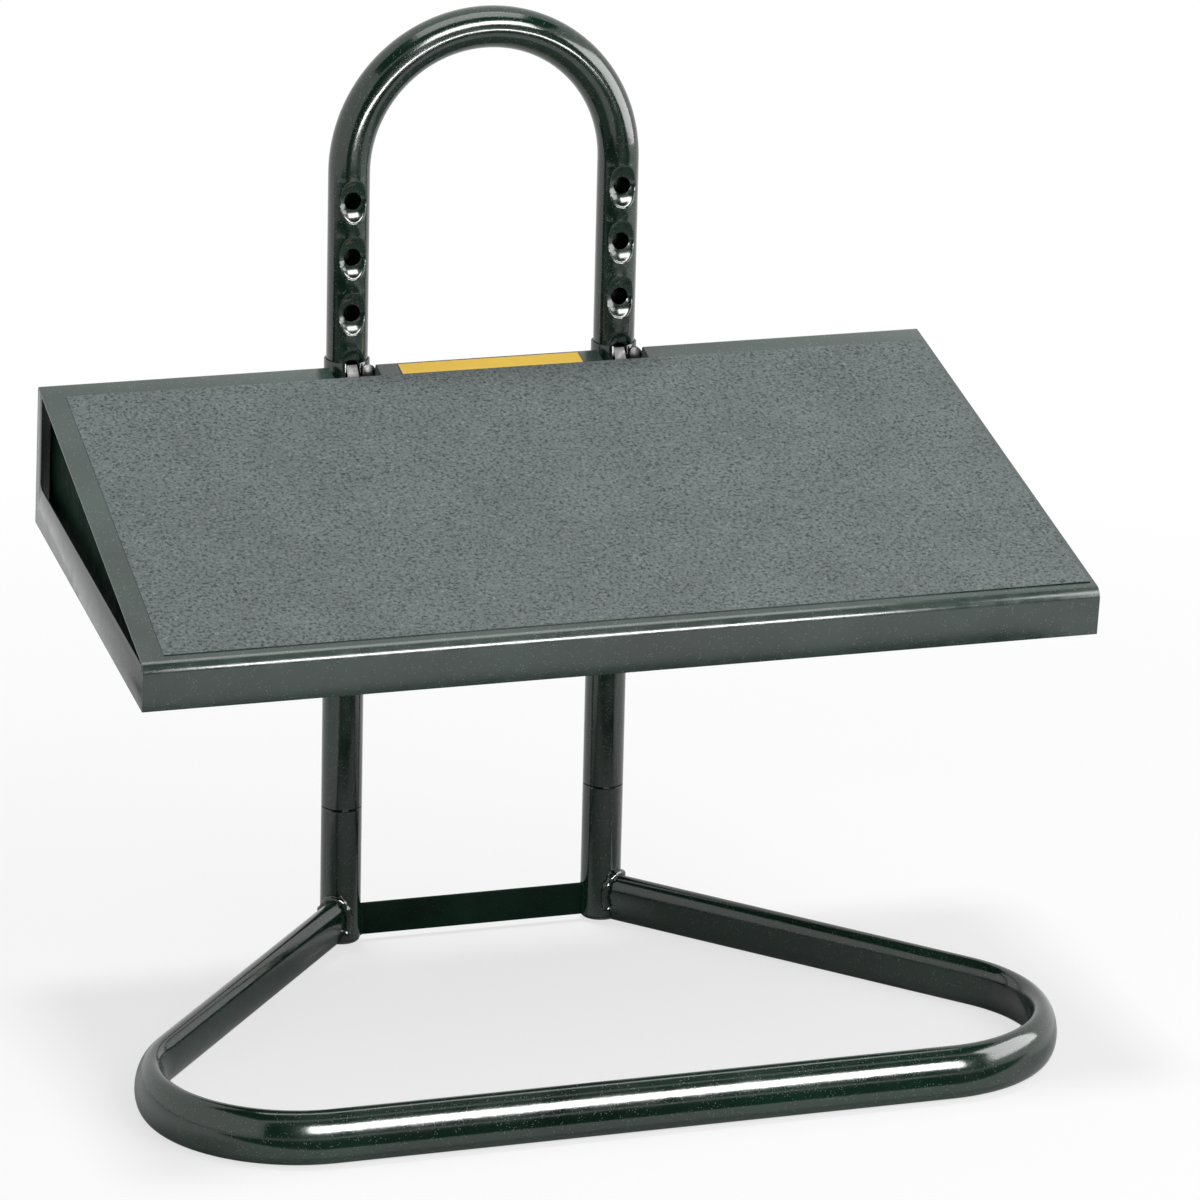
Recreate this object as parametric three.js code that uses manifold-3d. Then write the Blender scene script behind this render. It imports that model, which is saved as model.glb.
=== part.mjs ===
// A tilting footrest for use under a desk, in millimetres, +X to the right, +Y to the back, +Z up.
// A bent tube loop lies on the floor and carries two posts joined by an arch at the top. A carriage
// of two collars and a tie bar slides on the posts, and a folded steel platform tilts on the carriage.
// The finished part stands with the centre of its box's bottom face at the origin. Inside it, the
// posts' axes lie in the plane y = 0.
import * as THREE from "three";
import { mergeVertices } from "three/addons/utils/BufferGeometryUtils.js";
import Module from "manifold-3d";

const wasm = await Module();
wasm.setup();

const { PI, sin, cos, tan, atan2, acos, hypot, max } = Math;

// Clearances
const runningGap = 0.3; // between pieces that slide or turn on one another
const seatGap = 0.3; // between pieces that are welded, glued or riveted together
const overrun = 6; // how far a cutting solid passes the surface that it cuts
const mergeDistance = 1e-4;

// Posts and arch
const postSpacing = 171.3;
const tubeDiameter = 25.4;
const tubeWall = 1.5;
const archTop = 592.8;
const seamHeight = 90; // where the arch plugs into the sockets
const seamGap = 0.6;
const spigotDepth = 32;
const spigotTaper = 3;
const socketBottom = 3.8;

// Height holes, pressed and pierced in the front of each post
const holePitch = 34.9;
const topHoleHeight = 478.6;
const holeCount = 6;
const lockedHole = 3; // counted down from the top one, which is 0
const holeDiameter = 10.8;
const dimpleSpread = 16.5;
const dimpleHeight = 24;
const dimpleDepth = 3.2;

// Plastic plugs in the sockets' lower ends
const plugRimHeight = 1.5;
const plugStemHeight = 12;

// Floor loop
const loopDepth = 346.2; // from the posts' axes to the front run's axis
const loopCornerSpread = 739.4; // between the points where the legs' and the front run's axes meet
const loopBendRadius = 85.2;
const loopTubeWidth = 17;
const loopTubeHeight = 32;
const loopTubeWall = 1.5;
const loopLean = (8.25 * PI) / 180; // the oval's top leans in by this
const crossbarBottom = 4;
const crossbarHeight = 20.5;
const crossbarThickness = 3.2;
const crossbarSetback = 2.8; // its front face lies this far in front of the posts' axes
const weldBeadRadius = 1.6;
const weldWrap = PI / 8; // how far the bead runs down each side, past the oval's widest point

// Collars that slide on the posts, with the bar that ties them
const collarWall = 1;
const collarHeight = 45;
const collarRise = 4.6; // its top stands this far above the hole that the catch is in
const windowWidth = 9;
const windowDepth = 13.5;
const tieBarHeight = 15;
const tieBarThickness = 1.5;
const tieBarDrop = 38.9; // its lower edge hangs this far below the same hole

// Spring catches on the collars' fronts
const catchThickness = 1;
const catchFootHeight = 8;
const catchDrop = 19.9; // its lower edge hangs this far below the hole that it is in
const tongueWidth = 7;
const tongueRise = 3.1;
const leverWidth = 6.5;
const leverRise = 4.1;
const armSlot = 2;

// Pivot between the carriage and the platform
const pivotDrop = 7.9; // below the hole that the catches are in
const pivotSetback = 0; // behind the posts' axes
const pinDiameter = 6;
const pinHeadDiameter = 9;
const pinHeadHeight = 1.5;
const earRadius = 6.5;
const earThickness = 1.5;

// Platform, folded from one sheet
const restTilt = (5.12 * PI) / 180;
const platformDrop = 76.7; // its rear lower edge hangs this far below the pivot
const platformRearSetback = -3; // its rear lower edge, from the posts' axes
const platformDepth = 292.2;
const platformRearWidth = 562.6;
const platformFrontWidth = 582.8;
const flangeHeight = 28.1;
const rearHeight = 88.2;
const sheet = 1.2;
const frontBendRadius = 7;
const rearBendRadius = 2;
const notchWidth = 29.6;
const notchDepth = 14.2;
const sideUprightWidth = 12;
const sideCornerRadius = 5;

// Straps inside the platform that bear on the posts' fronts
const strapHeight = 12;
const strapLift = 4;
const strapFoot = 11;
const strapThickness = 1.5;
const bearingGap = 0.35;

// Stiffening ribs inside the platform, one near each end
const ribInset = 8; // from the side's outer face to the rib's
const ribLift = 4;

// Grit sheet and marking strip on the deck
const gritThickness = 0.6;
const gritSideMargin = 14;
const gritFarSideMargin = 3;
const gritFrontMargin = 9;
const gritRearMargin = 15;
const stripLength = 116;
const stripWidth = 12;
const stripThickness = 0.3;
const stripRearMargin = 1;

// Facets round a full turn or along a bend
const tubeSides = 24;
const boreSides = 20;
const archSteps = 20;
const loopBendSteps = 14;
const smallSides = 16;
const dishSides = 16;
const cornerSteps = 4;

// Sizes that follow from those above
const postX = postSpacing / 2;
const tubeRadius = tubeDiameter / 2;
const boreRadius = tubeRadius - tubeWall;
const archRadius = postX;
const archCentre = archTop - tubeRadius - archRadius;
const lockedHoleHeight = topHoleHeight - lockedHole * holePitch;
const collarTop = lockedHoleHeight + collarRise;
const tieBarBottom = lockedHoleHeight - tieBarDrop;
const catchBottom = lockedHoleHeight - catchDrop;
const tongueTop = lockedHoleHeight + tongueRise;
const leverTop = lockedHoleHeight + leverRise;
const pivotHeight = lockedHoleHeight - pivotDrop;
const platformRearBottom = pivotHeight - platformDrop;
const collarBore = tubeRadius + runningGap;
const collarRadius = collarBore + collarWall;
const loopAxisHeight = hypot(
  (loopTubeHeight / 2) * cos(loopLean),
  (loopTubeWidth / 2) * sin(loopLean),
);
const loopReach = hypot((loopTubeWidth / 2) * cos(loopLean), (loopTubeHeight / 2) * sin(loopLean));
const frontExtreme = loopDepth + loopReach;
const boxShift = (frontExtreme - collarRadius) / 2;
const platformReach = max(platformRearWidth, platformFrontWidth) / 2 + overrun;
const deckSlope = atan2(rearHeight - flangeHeight, platformDepth);
const earX = notchWidth / 2 + seatGap;

const paint = { color: 0x19241f, roughness: 0.28, metalness: 0.1 };
const materials = {
  tube: new THREE.MeshStandardMaterial({ name: "tube_paint", ...paint }),
  deck: new THREE.MeshStandardMaterial({ name: "deck_paint", ...paint, color: 0x48524c, roughness: 0.4 }),
  grit: new THREE.MeshStandardMaterial({ name: "grit", color: 0x767a7a, roughness: 0.9, metalness: 0 }),
  yellow: new THREE.MeshStandardMaterial({ name: "yellow", color: 0xfac846, roughness: 0.5 }),
  steel: new THREE.MeshStandardMaterial({ name: "plated_steel", color: 0xb9bcc0, metalness: 1 }),
  black: new THREE.MeshStandardMaterial({ name: "black_plastic", color: 0x101211, roughness: 0.5 }),
};

// A closed solid from a geometry, with its shared vertices merged.
function solid(geometry) {
  const bare = geometry.clone();
  bare.deleteAttribute("normal");
  bare.deleteAttribute("uv");
  const merged = mergeVertices(bare, mergeDistance);
  const mesh = new wasm.Mesh({
    numProp: 3,
    vertProperties: merged.attributes.position.array,
    triVerts: new Uint32Array(merged.index.array),
  });
  return new wasm.Manifold(mesh);
}

function piece(name, made, material) {
  const found = made.getMesh();
  const geometry = new THREE.BufferGeometry();
  geometry.setAttribute("position", new THREE.BufferAttribute(found.vertProperties, found.numProp));
  geometry.setIndex(new THREE.BufferAttribute(found.triVerts, 1));
  geometry.computeVertexNormals();
  const mesh = new THREE.Mesh(geometry, material);
  mesh.name = name;
  return mesh;
}

const axisX = new THREE.Vector3(1, 0, 0);
const axisY = new THREE.Vector3(0, 1, 0);
const axisZ = new THREE.Vector3(0, 0, 1);

// Prisms: an outline in one plane, run along the third axis from one place to another.
function prism(outline, from, to, basis) {
  const shape = outline instanceof THREE.Shape ? outline : new THREE.Shape(outline);
  const geometry = new THREE.ExtrudeGeometry(shape, {
    depth: to - from,
    bevelEnabled: false,
    curveSegments: smallSides,
  });
  geometry.translate(0, 0, from);
  geometry.applyMatrix4(new THREE.Matrix4().makeBasis(...basis));
  return solid(geometry);
}

const prismAlongX = (outline, from, to) => prism(outline, from, to, [axisY, axisZ, axisX]);
const prismAlongZ = (outline, from, to) => prism(outline, from, to, [axisX, axisY, axisZ]);
const forward = axisY.clone().negate();
const prismAlongY = (outline, from, to) => prism(outline, -to, -from, [axisX, axisZ, forward]);

function box(x0, x1, y0, y1, z0, z1) {
  const geometry = new THREE.BoxGeometry(x1 - x0, y1 - y0, z1 - z0);
  return solid(geometry.translate((x0 + x1) / 2, (y0 + y1) / 2, (z0 + z1) / 2));
}

// A round bar along Z, with its axis at x, y.
function uprightBar(radius, x, y, z0, z1, sides = tubeSides) {
  const geometry = new THREE.CylinderGeometry(radius, radius, z1 - z0, sides);
  return solid(geometry.rotateX(PI / 2).translate(x, y, (z0 + z1) / 2));
}

// A body of revolution about Z through x, from [radius, height] pairs that close on themselves.
function turned(profile, x, sides = tubeSides) {
  const points = profile.map(([radius, height]) => new THREE.Vector2(radius, height));
  points.push(points[0].clone());
  const geometry = new THREE.LatheGeometry(points, sides);
  return solid(geometry.rotateX(PI / 2).translate(x, 0, 0));
}

// A path made of the stations that a tube's rings stand at, so that a straight run costs no rings.
class Route extends THREE.Curve {
  constructor(stations) {
    super();
    this.stations = stations;
  }

  stationAt(share) {
    return this.stations[Math.round(share * (this.stations.length - 1))];
  }

  getPointAt(share, target = new THREE.Vector3()) {
    return target.copy(this.stationAt(share).point);
  }

  getTangentAt(share, target = new THREE.Vector3()) {
    return target.copy(this.stationAt(share).tangent);
  }
}

function tubeAlong(stations, outline) {
  const geometry = new THREE.ExtrudeGeometry(new THREE.Shape(outline), {
    steps: stations.length - 1,
    extrudePath: new Route(stations),
    bevelEnabled: false,
  });
  return solid(geometry);
}

function circle(radius, sides) {
  const points = [];
  for (let i = 0; i < sides; i++) {
    const angle = (2 * PI * i) / sides;
    points.push(new THREE.Vector2(radius * cos(angle), radius * sin(angle)));
  }
  return points;
}

// Points of an arc about a centre in a plane, both ends included.
function arc(centreA, centreB, radius, start, end, steps = cornerSteps) {
  const points = [];
  for (let i = 0; i <= steps; i++) {
    const angle = start + ((end - start) * i) / steps;
    points.push(new THREE.Vector2(centreA + radius * cos(angle), centreB + radius * sin(angle)));
  }
  return points;
}

// Arch: two posts and the half circle that joins them, from one seam over the top to the other.
function archStations(start) {
  const stations = [{ point: new THREE.Vector3(-postX, 0, start), tangent: axisZ.clone() }];
  for (let i = 0; i <= archSteps; i++) {
    const angle = PI - (PI * i) / archSteps;
    const along = new THREE.Vector3(sin(angle), 0, -cos(angle));
    const point = new THREE.Vector3(
      archRadius * cos(angle),
      0,
      archCentre + archRadius * sin(angle),
    );
    stations.push({ point, tangent: along });
  }
  stations.push({ point: new THREE.Vector3(postX, 0, start), tangent: axisZ.clone().negate() });
  return stations;
}

// An oval dish pressed into a post's front.
function dimple(x, z) {
  const geometry = new THREE.SphereGeometry(1, dishSides, dishSides / 2);
  geometry.rotateX(PI / 2);
  geometry.scale(dimpleSpread, dimpleDepth, dimpleHeight / 2);
  return solid(geometry.translate(x, -tubeRadius, z));
}

// The wall that a dimple pushes in, left flat on the tube's inside.
function dimpleBacking(x, z) {
  const half = dimpleHeight / 2;
  const back = -tubeRadius + dimpleDepth + tubeWall;
  const pad = box(x - tubeRadius, x + tubeRadius, -tubeRadius, back, z - half, z + half);
  return pad.intersect(uprightBar(tubeRadius - tubeWall / 2, x, 0, z - half, z + half));
}

function heightHole(x, z) {
  const radius = holeDiameter / 2;
  const reach = dimpleDepth + tubeWall + radius;
  const hole = new THREE.CylinderGeometry(radius, radius, reach + overrun, smallSides);
  return solid(hole.translate(x, -tubeRadius + (reach - overrun) / 2, z));
}

function archTube() {
  const start = seamHeight + seamGap;
  const skin = tubeAlong(archStations(start), circle(tubeRadius, tubeSides));
  let made = skin.subtract(tubeAlong(archStations(start), circle(boreRadius, boreSides)));
  for (const x of [-postX, postX]) {
    for (let i = 0; i < holeCount; i++) {
      const z = topHoleHeight - i * holePitch;
      made = made.add(dimpleBacking(x, z)).subtract(dimple(x, z)).subtract(heightHole(x, z));
    }
    made = made.add(spigot(x, start));
  }
  return made;
}

// The swaged end that plugs into a socket.
function spigot(x, start) {
  const outer = boreRadius - seatGap;
  const inner = outer - tubeWall;
  const tip = seamHeight - spigotDepth;
  return turned(
    [
      [inner, tip],
      [outer - tubeWall / 2, tip],
      [outer, tip + spigotTaper],
      [outer, start],
      [tubeRadius - tubeWall / 4, start],
      [tubeRadius - tubeWall / 4, start + spigotTaper],
      [inner, start + spigotTaper * 2],
    ],
    x,
  );
}

function socket(x) {
  return turned(
    [
      [boreRadius, socketBottom],
      [tubeRadius, socketBottom],
      [tubeRadius, seamHeight],
      [boreRadius, seamHeight],
    ],
    x,
  );
}

function socketPlug(x) {
  const rimTop = socketBottom - seatGap;
  const rimBottom = rimTop - plugRimHeight;
  const rim = uprightBar(tubeRadius - tubeWall / 2, x, 0, rimBottom, rimTop);
  const stem = uprightBar(boreRadius - seatGap, x, 0, rimBottom, socketBottom + plugStemHeight);
  const hollow = uprightBar(
    boreRadius - seatGap - tubeWall,
    x,
    0,
    rimTop,
    socketBottom + plugStemHeight + overrun,
  );
  return rim.add(stem).subtract(hollow);
}

// A point of the floor loop's oval section, moved out from its skin: how far in, and how far up.
function ovalPoint(width, height, angle, outset) {
  const slant = new THREE.Vector2(height * cos(angle), width * sin(angle)).normalize();
  const across = (width / 2) * cos(angle) + outset * slant.x;
  const up = (height / 2) * sin(angle) + outset * slant.y;
  const inward = up * sin(loopLean) + across * cos(loopLean);
  return { inward, rise: up * cos(loopLean) - across * sin(loopLean) };
}

// Floor loop: an oval tube with its section upright, leaning in a little at the top.
function ovalSection(width, height, sides) {
  const points = [];
  for (let i = 0; i < sides; i++) {
    const { inward, rise } = ovalPoint(width, height, (2 * PI * i) / sides, 0);
    points.push(new THREE.Vector2(-rise, inward));
  }
  return points;
}

// Stations of a path through corners in a level plane, each inner corner rounded by an arc.
function roundedStations(corners, radius, steps) {
  const first = corners[1].clone().sub(corners[0]).normalize();
  const stations = [{ point: corners[0], tangent: first }];
  for (let i = 1; i < corners.length - 1; i++) {
    const before = corners[i].clone().sub(corners[i - 1]).normalize();
    const after = corners[i + 1].clone().sub(corners[i]).normalize();
    const turn = acos(before.dot(after));
    const inward = after.clone().addScaledVector(before, -before.dot(after)).normalize();
    const start = corners[i].clone().addScaledVector(before, -radius * tan(turn / 2));
    const centre = start.clone().addScaledVector(inward, radius);
    for (let k = 0; k <= steps; k++) {
      const angle = (turn * k) / steps;
      const point = centre.clone();
      point.addScaledVector(inward, -radius * cos(angle));
      point.addScaledVector(before, radius * sin(angle));
      const tangent = before.clone().multiplyScalar(cos(angle));
      stations.push({ point, tangent: tangent.addScaledVector(inward, sin(angle)) });
    }
  }
  const last = corners[corners.length - 1];
  stations.push({ point: last, tangent: stations[stations.length - 1].tangent.clone() });
  return stations;
}

const loopCorners = [
  [-postX, 0],
  [-loopCornerSpread / 2, -loopDepth],
  [loopCornerSpread / 2, -loopDepth],
  [postX, 0],
].map(([x, y]) => new THREE.Vector3(x, y, loopAxisHeight));

function baseLoop() {
  const stations = roundedStations(loopCorners, loopBendRadius, loopBendSteps);
  const skin = tubeAlong(stations, ovalSection(loopTubeWidth, loopTubeHeight, tubeSides));
  const innerWidth = loopTubeWidth - 2 * loopTubeWall;
  const innerHeight = loopTubeHeight - 2 * loopTubeWall;
  const bore = tubeAlong(stations, ovalSection(innerWidth, innerHeight, smallSides));
  let made = skin.subtract(bore);
  for (const x of [-postX, postX]) {
    made = made.subtract(uprightBar(tubeRadius + seatGap, x, 0, -overrun, loopTubeHeight + overrun));
  }
  return made;
}

// The bead where a leg meets its post: it runs over the leg's top and down both its sides.
function legWeld(side) {
  const corner = new THREE.Vector3(side * (loopCornerSpread / 2), -loopDepth, 0);
  const outward = corner.clone().sub(new THREE.Vector3(side * postX, 0, 0)).normalize();
  const across = new THREE.Vector3(side * outward.y, -side * outward.x, 0);
  const stand = weldBeadRadius + seatGap;
  const reach = tubeRadius + stand;
  const stations = [];
  const steps = smallSides;
  for (let i = 0; i <= steps; i++) {
    const angle = -weldWrap + ((PI + 2 * weldWrap) * i) / steps;
    const { inward, rise } = ovalPoint(loopTubeWidth, loopTubeHeight, angle, stand);
    const point = new THREE.Vector3(side * postX, 0, loopAxisHeight + rise);
    point.addScaledVector(across, inward);
    point.addScaledVector(outward, Math.sqrt(max(reach * reach - inward * inward, 0)));
    stations.push({ point });
  }
  stations.forEach((station, i) => {
    const next = stations[Math.min(i + 1, steps)].point;
    station.tangent = next.clone().sub(stations[max(i - 1, 0)].point).normalize();
  });
  return tubeAlong(stations, circle(weldBeadRadius, smallSides / 2));
}

function crossbar() {
  const bar = box(
    -postX,
    postX,
    -crossbarSetback,
    crossbarThickness - crossbarSetback,
    crossbarBottom,
    crossbarBottom + crossbarHeight,
  );
  const tall = crossbarBottom + crossbarHeight + overrun;
  const left = uprightBar(tubeRadius + seatGap, -postX, 0, -overrun, tall);
  const right = uprightBar(tubeRadius + seatGap, postX, 0, -overrun, tall);
  return bar.subtract(left).subtract(right);
}

// Carriage: a collar on each post, with a window for its catch, and the bar between them.
function collar(x) {
  const bottom = collarTop - collarHeight;
  const ring = turned(
    [
      [collarBore, bottom],
      [collarRadius, bottom],
      [collarRadius, collarTop - collarWall / 2],
      [collarRadius - collarWall / 2, collarTop],
      [collarBore, collarTop],
    ],
    x,
  );
  const half = windowWidth / 2;
  const opening = box(
    x - half,
    x + half,
    -collarRadius - overrun,
    0,
    collarTop - windowDepth,
    collarTop + overrun,
  );
  return ring.subtract(opening);
}

function tieBar() {
  const top = tieBarBottom + tieBarHeight;
  const half = tieBarThickness / 2;
  let made = box(-postX, postX, -half, half, tieBarBottom, top);
  for (const x of [-postX, postX]) {
    const post = uprightBar(collarRadius + seatGap, x, 0, tieBarBottom - overrun, top + overrun);
    made = made.subtract(post);
  }
  return made;
}

// Catch: a foot on the collar's front, a tongue that leans back to the hole and a release lever.
function springCatch(x) {
  const front = -(collarRadius + seatGap + catchThickness);
  const tongueTip = -(tubeRadius + runningGap + catchThickness);
  const footTop = catchBottom + catchFootHeight;
  const leverLeft = tongueWidth / 2 + armSlot;
  const leverRight = leverLeft + leverWidth;
  const radius = leverWidth / 2;
  const lever = [
    new THREE.Vector2(x - tongueWidth / 2, catchBottom),
    new THREE.Vector2(x + leverRight, catchBottom),
    ...arc(x + leverLeft + radius, leverTop - radius, radius, 0, PI),
    new THREE.Vector2(x + leverLeft, footTop),
    new THREE.Vector2(x - tongueWidth / 2, footTop),
  ];
  const plate = prismAlongY(lever, front, front + catchThickness);
  const lean = [
    new THREE.Vector2(front, footTop - catchThickness),
    new THREE.Vector2(front + catchThickness, footTop - catchThickness),
    new THREE.Vector2(tongueTip + catchThickness, tongueTop),
    new THREE.Vector2(tongueTip, tongueTop),
  ];
  const tongue = prismAlongX(lean, x - tongueWidth / 2, x + tongueWidth / 2);
  return plate.add(tongue);
}

// A pin from a collar's side through the platform's ear, with its head outside.
function pivotPin(x, side) {
  const inner = collarRadius + seatGap;
  const head = earX + earThickness + runningGap;
  const shaft = new THREE.CylinderGeometry(
    pinDiameter / 2,
    pinDiameter / 2,
    head + pinHeadHeight / 2 - inner,
    boreSides,
  );
  shaft.rotateZ(PI / 2);
  shaft.translate(x + (side * (head + pinHeadHeight / 2 + inner)) / 2, pivotSetback, pivotHeight);
  const cap = new THREE.CylinderGeometry(
    pinHeadDiameter / 2,
    pinHeadDiameter / 2,
    pinHeadHeight,
    boreSides,
  );
  cap.rotateZ(PI / 2);
  cap.translate(x + side * (head + pinHeadHeight / 2), pivotSetback, pivotHeight);
  return solid(shaft).add(solid(cap));
}

// Platform, in its own frame: the origin is the middle of its rear lower edge, before the tilt.
// Its side view is one outline moved in from the outside by an inset.
function deckOutline(inset) {
  const frontX = frontBendRadius;
  const slopeAt = (distance) => flangeHeight + distance * tan(deckSlope);
  const frontZ = slopeAt(frontX) - frontBendRadius / cos(deckSlope);
  const rearX = -rearBendRadius;
  const rearZ = slopeAt(platformDepth - rearBendRadius) - rearBendRadius / cos(deckSlope);
  const normal = PI / 2 + deckSlope;
  return [
    new THREE.Vector2(-inset, 0),
    ...arc(rearX, rearZ, rearBendRadius - inset, 0, normal, cornerSteps),
    ...arc(-platformDepth + frontX, frontZ, frontBendRadius - inset, normal, PI, cornerSteps * 2),
    new THREE.Vector2(-platformDepth + inset, 0),
  ];
}

// The platform's plan: it widens towards the front. A margin draws its sides in.
function planOutline(margin, farMargin, rear, front) {
  const halfAt = (y) => {
    const share = -y / platformDepth;
    return (platformRearWidth + (platformFrontWidth - platformRearWidth) * share) / 2;
  };
  return [
    new THREE.Vector2(-halfAt(rear) + margin, rear),
    new THREE.Vector2(-halfAt(front) + margin, front),
    new THREE.Vector2(halfAt(front) - farMargin, front),
    new THREE.Vector2(halfAt(rear) - farMargin, rear),
  ];
}

const platformPlan = (margin) => {
  const outline = planOutline(margin, margin, overrun, -platformDepth - overrun);
  return prismAlongZ(outline, -overrun, rearHeight + overrun);
};

function deck() {
  const sheetOutline = [...deckOutline(0), ...deckOutline(sheet).reverse()];
  let made = prismAlongX(sheetOutline, -platformReach, platformReach).intersect(platformPlan(0));
  for (const x of [-postX, postX]) {
    const half = notchWidth / 2;
    made = made.subtract(
      box(x - half, x + half, -notchDepth, overrun, -overrun, rearHeight + overrun),
    );
  }
  return made;
}

// A side flange: a low strip that rises at the back to the deck, in one flat piece.
function sideFlange(side) {
  const under = prismAlongX(deckOutline(sheet + seatGap), -platformReach, platformReach);
  const stripTop = flangeHeight - sheet;
  const upright = -sideUprightWidth;
  const profile = [
    new THREE.Vector2(0, 0),
    new THREE.Vector2(0, rearHeight),
    new THREE.Vector2(upright, rearHeight),
    ...arc(upright - sideCornerRadius, stripTop + sideCornerRadius, sideCornerRadius, 0, -PI / 2),
    new THREE.Vector2(-platformDepth, stripTop),
    new THREE.Vector2(-platformDepth, 0),
  ];
  const skin = platformPlan(0).subtract(platformPlan(sheet));
  const from = side < 0 ? -platformReach : 0;
  return prismAlongX(profile, from, from + platformReach).intersect(under).intersect(skin);
}

// A place given from the posts' axes and the floor, in the platform's own frame.
function inPlatform(y, z) {
  const dy = y - platformRearSetback;
  const dz = z - platformRearBottom;
  return [dy * cos(restTilt) + dz * sin(restTilt), dz * cos(restTilt) - dy * sin(restTilt)];
}

// An ear on the back panel, round at its free end, with the pivot's hole.
function ear(x, side) {
  const [pivotY, pivotZ] = inPlatform(pivotSetback, pivotHeight);
  const shape = new THREE.Shape([
    new THREE.Vector2(seatGap, pivotZ - earRadius),
    ...arc(pivotY, pivotZ, earRadius, -PI / 2, PI / 2, cornerSteps * 2),
    new THREE.Vector2(seatGap, pivotZ + earRadius),
  ]);
  const hole = circle(pinDiameter / 2 + runningGap, boreSides);
  shape.holes.push(new THREE.Path(hole.map((p) => p.add(new THREE.Vector2(pivotY, pivotZ)))));
  const near = x + side * earX;
  const far = near + side * earThickness;
  return prismAlongX(shape, Math.min(near, far), max(near, far));
}

// A strap inside the platform: two feet on the back panel, bridged in front of the post.
function stopStrap(x) {
  const bearing = -(tubeRadius + bearingGap);
  const back = (bearing - platformRearSetback + strapLift * sin(restTilt)) / cos(restTilt);
  const front = back - strapThickness;
  const foot = -(sheet + seatGap);
  const inner = notchWidth / 2 + seatGap;
  const outer = inner + strapThickness;
  const toe = inner + strapFoot;
  const half = [
    [toe, foot],
    [toe, foot - strapThickness],
    [outer, foot - strapThickness],
    [outer, front],
  ];
  const innerHalf = [
    [inner, foot],
    [inner, back],
  ];
  const mirrored = (points) => points.map(([a, b]) => [-a, b]).reverse();
  const outline = [...half, ...mirrored(half), ...mirrored(innerHalf).reverse(), ...innerHalf.reverse()];
  const points = outline.map(([a, b]) => new THREE.Vector2(x + a, b));
  return prismAlongZ(points, strapLift, strapLift + strapHeight);
}

// A rib under the deck beside the side flange, from the back panel to the front lip.
function endRib(side) {
  const from = side < 0 ? -platformReach : 0;
  const under = prismAlongX(deckOutline(sheet + seatGap), from, from + platformReach);
  const skin = platformPlan(ribInset).subtract(platformPlan(ribInset + sheet));
  const room = box(-platformReach, platformReach, -platformDepth, 0, ribLift, rearHeight);
  return under.intersect(skin).intersect(room);
}

// A sheet that lies on the sloped deck, from an outline in plan.
function onDeck(outline, thickness) {
  const lift = (height) => {
    const rise = height / cos(deckSlope);
    return [
      new THREE.Vector2(overrun, rearHeight + rise + overrun * tan(deckSlope)),
      new THREE.Vector2(-platformDepth - overrun, flangeHeight + rise - overrun * tan(deckSlope)),
    ];
  };
  const slab = [...lift(seatGap), ...lift(seatGap + thickness).reverse()];
  const tall = prismAlongZ(outline, -overrun, rearHeight + thickness + overrun);
  return prismAlongX(slab, -platformReach, platformReach).intersect(tall);
}

function gritSheet() {
  const rear = -gritRearMargin;
  const front = -platformDepth + gritFrontMargin;
  return onDeck(planOutline(gritSideMargin, gritFarSideMargin, rear, front), gritThickness);
}

function markingStrip() {
  const half = stripLength / 2;
  const rear = -stripRearMargin - rearBendRadius;
  const outline = [
    new THREE.Vector2(-half, rear),
    new THREE.Vector2(-half, rear - stripWidth),
    new THREE.Vector2(half, rear - stripWidth),
    new THREE.Vector2(half, rear),
  ];
  return onDeck(outline, stripThickness);
}

const sides = [
  ["left", -1],
  ["right", 1],
];

const frame = new THREE.Group();
frame.add(piece("base_loop", baseLoop(), materials.tube));
frame.add(piece("base_crossbar", crossbar(), materials.tube));
frame.add(piece("arch_tube", archTube(), materials.tube));
for (const [name, side] of sides) {
  frame.add(piece(`${name}_post_socket`, socket(side * postX), materials.tube));
  frame.add(piece(`${name}_socket_plug`, socketPlug(side * postX), materials.black));
  frame.add(piece(`${name}_leg_weld`, legWeld(side), materials.tube));
}

const carriage = new THREE.Group();
carriage.add(piece("carriage_tie_bar", tieBar(), materials.tube));
for (const [name, side] of sides) {
  const x = side * postX;
  carriage.add(piece(`${name}_post_collar`, collar(x), materials.tube));
  carriage.add(piece(`${name}_spring_catch`, springCatch(x), materials.steel));
  carriage.add(piece(`${name}_outer_pin`, pivotPin(x, side), materials.steel));
  carriage.add(piece(`${name}_inner_pin`, pivotPin(x, -side), materials.steel));
}

const platform = new THREE.Group();
platform.position.set(0, platformRearSetback, platformRearBottom);
platform.rotation.x = restTilt;
platform.add(piece("platform_deck", deck(), materials.deck));
platform.add(piece("grit_sheet", gritSheet(), materials.grit));
platform.add(piece("marking_strip", markingStrip(), materials.yellow));
for (const [name, side] of sides) {
  const x = side * postX;
  platform.add(piece(`${name}_side_flange`, sideFlange(side), materials.deck));
  platform.add(piece(`${name}_end_rib`, endRib(side), materials.deck));
  platform.add(piece(`${name}_outer_ear`, ear(x, side), materials.deck));
  platform.add(piece(`${name}_inner_ear`, ear(x, -side), materials.deck));
  platform.add(piece(`${name}_stop_strap`, stopStrap(x), materials.deck));
}

const stand = new THREE.Group();
stand.position.set(0, boxShift, 0);
stand.add(frame, carriage, platform);
const footrest = new THREE.Group();
footrest.add(stand);

export default footrest;
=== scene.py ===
"""Looks of a tilting footrest for use under a desk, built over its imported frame."""

import math

import bmesh
import bpy
from bmesh.types import BMEdge, BMFace, BMVert
from bpy.props import FloatProperty, FloatVectorProperty, IntProperty, PointerProperty
from bpy.types import Operator, Panel, PropertyGroup
from mathutils import Matrix, Vector


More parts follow.
